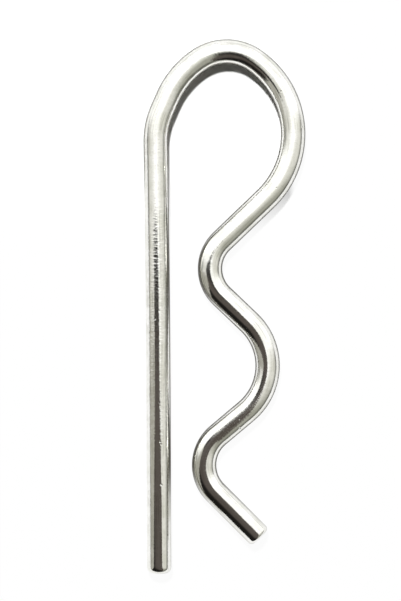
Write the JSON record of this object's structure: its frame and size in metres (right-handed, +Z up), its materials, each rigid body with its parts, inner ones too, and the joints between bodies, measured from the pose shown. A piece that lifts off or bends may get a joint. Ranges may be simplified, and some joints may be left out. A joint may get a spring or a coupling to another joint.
{
  "type": "hitch r clip pin",
  "caption": "R clip of round spring wire: a straight leg for a shaft's cross hole, a closed-in eye and a wave leg that snaps round the shaft.",
  "frame": {"origin": "under the middle of the clip as it lies flat, on the surface it lies on", "axes": "+Y from the two free ends to the eye, +X from the straight leg to the wave leg, +Z up off the surface"},
  "size_m": [0.02, 0.0658, 0.003],
  "materials": {
    "plated_wire": "bright zinc plate over drawn spring steel, with fine drawing lines"
  },
  "bodies": {
    "root": {"clip_wire": "plated_wire"}
  },
  "joints": []
}
